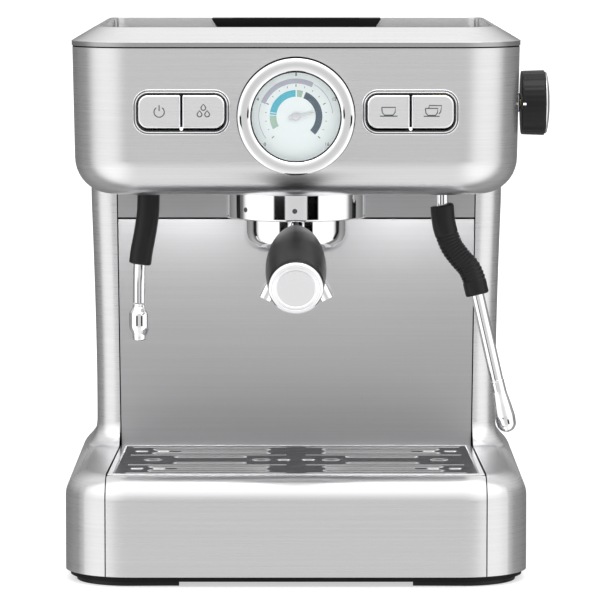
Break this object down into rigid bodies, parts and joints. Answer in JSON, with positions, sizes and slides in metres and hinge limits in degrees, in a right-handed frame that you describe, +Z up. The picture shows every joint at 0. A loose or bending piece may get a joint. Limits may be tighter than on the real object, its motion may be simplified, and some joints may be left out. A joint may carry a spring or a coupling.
{
  "type": "espresso machine",
  "caption": "Semi-automatic espresso machine with a pressure gauge, portafilter, steam wand, hot water pipe, drip tray and rear water tank.",
  "frame": {"origin": "centre of the overall footprint, on the surface the feet stand on", "axes": "+Z up, +X to the right of a user who faces the machine (the steam knob's side), the user stands on the -Y side"},
  "size_m": [0.3268, 0.3671, 0.372],
  "materials": {
    "casing_steel": "brushed stainless steel, grain running across",
    "button_steel": "satin metal button faces",
    "chrome": "polished",
    "black_plastic": "fine matte grain",
    "rubber": "soft matte",
    "brass": "machined",
    "aluminium": "cast and machined",
    "dial": "printed dial face",
    "lens": "clear",
    "lamp": "frosted light guide",
    "tank_plastic": "smoke grey, see-through",
    "silicone": "milky silicone",
    "circuit_board": "lacquered board"
  },
  "bodies": {
    "body": {"head_shell": "casing_steel", "top_rim": "casing_steel", "cup_tray": "casing_steel", "side_panel_right": "casing_steel", "side_panel_left": "casing_steel", "splash_panel": "casing_steel", "upper_panel": "casing_steel", "rear_cover": "casing_steel", "inner_frame": "black_plastic", "base_pan": "black_plastic", "foot_front_left": "rubber", "foot_front_right": "rubber", "foot_rear_left": "rubber", "foot_rear_right": "rubber", "cord_gland": "rubber", "gauge_bezel": "chrome", "gauge_case": "black_plastic", "gauge_dial": "dial", "gauge_lens": "lens", "button_frame_left": "chrome", "button_frame_right": "chrome", "indicator_lamp_left": "lamp", "indicator_lamp_right": "lamp", "steam_valve": "brass", "group_collar": "chrome", "group_head": "aluminium", "group_gasket": "rubber", "shower_screen": "casing_steel", "wand_nut": "brass", "boiler": "casing_steel", "steam_solenoid": "black_plastic", "pump": "black_plastic", "control_board": "circuit_board", "suction_hose": "silicone", "pressure_hose": "silicone", "steam_line": "aluminium"},
    "tray": {"drip_tray": "black_plastic", "drip_tray_front": "casing_steel"},
    "grid": {"drip_grid": "casing_steel"},
    "needle": {"gauge_needle": "aluminium"},
    "power_key": {"power_button": "button_steel"},
    "manual_key": {"manual_brew_button": "button_steel"},
    "single_key": {"single_cup_button": "button_steel"},
    "double_key": {"double_cup_button": "button_steel"},
    "knob": {"steam_knob": "black_plastic", "knob_cap": "chrome", "valve_spindle": "brass"},
    "portafilter": {"portafilter_bowl": "chrome", "filter_basket": "casing_steel", "portafilter_handle": "black_plastic", "handle_cap": "chrome", "twin_spout": "chrome"},
    "steam_wand": {"steam_wand_tube": "chrome", "steam_wand_grip": "rubber", "steam_wand_tip": "chrome"},
    "hot_water_pipe": {"hot_water_tube": "chrome", "hot_water_grip": "rubber", "hot_water_tip": "chrome"},
    "tank": {"water_tank": "tank_plastic"},
    "lid": {"tank_lid": "black_plastic"}
  },
  "joints": [
    {"name": "drip_tray_slide", "type": "slide", "parent": "body", "child": "tray", "axis": [0, -1, 0], "range_m": [0, 0.17]},
    {"name": "drip_grid_lift", "type": "slide", "parent": "tray", "child": "grid", "axis": [0, 0, 1], "range_m": [0, 0.06]},
    {"name": "tank_lift", "type": "slide", "parent": "body", "child": "tank", "axis": [0, 0, 1], "range_m": [0, 0.26]},
    {"name": "tank_lid_hinge", "type": "hinge", "parent": "tank", "child": "lid", "pos_m": [-0.00785, 0.0851, 0.36], "axis": [1, 0, 0], "range_deg": [0, 80]},
    {"name": "portafilter_turn", "type": "hinge", "parent": "body", "child": "portafilter", "pos_m": [-0.00785, -0.0349, 0.245], "axis": [0, 0, 1], "range_deg": [-45, 0]},
    {"name": "steam_wand_swivel", "type": "hinge", "parent": "body", "child": "steam_wand", "pos_m": [0.09095, -0.0419, 0.262], "axis": [0, 0, 1], "range_deg": [-100, 35]},
    {"name": "hot_water_swivel", "type": "hinge", "parent": "body", "child": "hot_water_pipe", "pos_m": [-0.10785, -0.0419, 0.262], "axis": [0, 0, 1], "range_deg": [-30, 30]},
    {"name": "steam_knob_turn", "type": "hinge", "parent": "body", "child": "knob", "pos_m": [0.15215, -0.0419, 0.3196], "axis": [1, 0, 0], "range_deg": [-90, 90]},
    {"name": "gauge_needle_turn", "type": "hinge", "parent": "body", "child": "needle", "pos_m": [-0.00785, -0.1159, 0.3138], "axis": [0, 1, 0], "range_deg": [-197, 43]},
    {"name": "power_press", "type": "slide", "parent": "body", "child": "power_key", "axis": [0, 1, 0], "range_m": [0, 0.0015], "stiffness_N_per_m": 300},
    {"name": "manual_press", "type": "slide", "parent": "body", "child": "manual_key", "axis": [0, 1, 0], "range_m": [0, 0.0015], "stiffness_N_per_m": 300},
    {"name": "single_press", "type": "slide", "parent": "body", "child": "single_key", "axis": [0, 1, 0], "range_m": [0, 0.0015], "stiffness_N_per_m": 300},
    {"name": "double_press", "type": "slide", "parent": "body", "child": "double_key", "axis": [0, 1, 0], "range_m": [0, 0.0015], "stiffness_N_per_m": 300}
  ]
}
